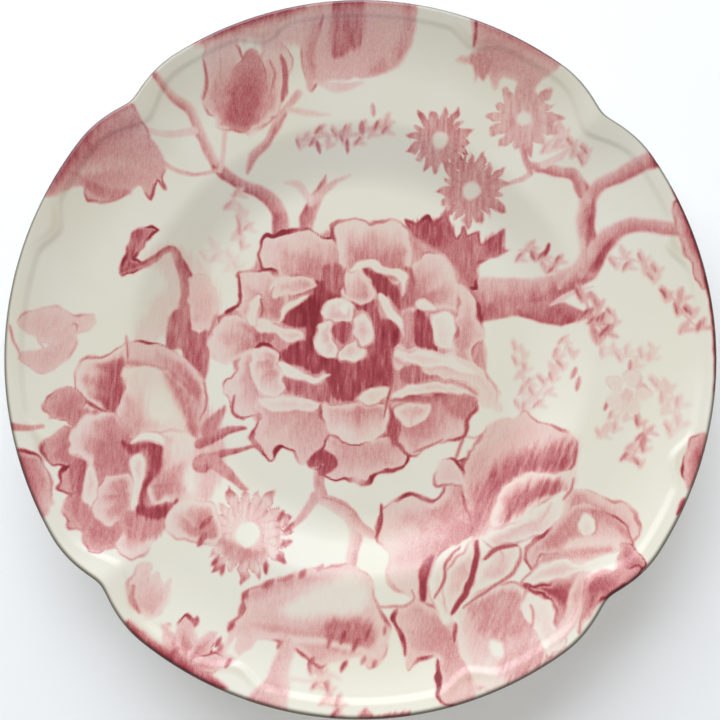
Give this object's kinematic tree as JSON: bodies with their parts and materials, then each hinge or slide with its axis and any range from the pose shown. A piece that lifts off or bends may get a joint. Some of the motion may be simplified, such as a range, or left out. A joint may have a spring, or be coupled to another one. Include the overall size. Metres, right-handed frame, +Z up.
{
  "type": "dinner plate",
  "caption": "Dinner plate with a wide lobed rim, a moulded edge band, a flat well and a low foot ring, printed all over with flowers under a clear glaze.",
  "frame": {"origin": "centre of the plane that the foot ring stands on, below the middle of the well", "axes": "+Z up, out of the well; X through the two shorter lobes, Y through the two longer lobes, the four notches on the diagonals"},
  "size_m": [0.2516, 0.257, 0.0244],
  "materials": {
    "bare_clay": "fired clay, unglazed, seen only on the foot ring",
    "printed_glaze": "glossy clear glaze on cream clay; the front has red flowers printed under it",
    "plain_glaze": "glossy clear glaze on cream clay, with no print"
  },
  "bodies": {
    "root": {"china_body": "bare_clay", "glaze_coat": "printed_glaze", "hollow_glaze": "plain_glaze"}
  },
  "joints": []
}
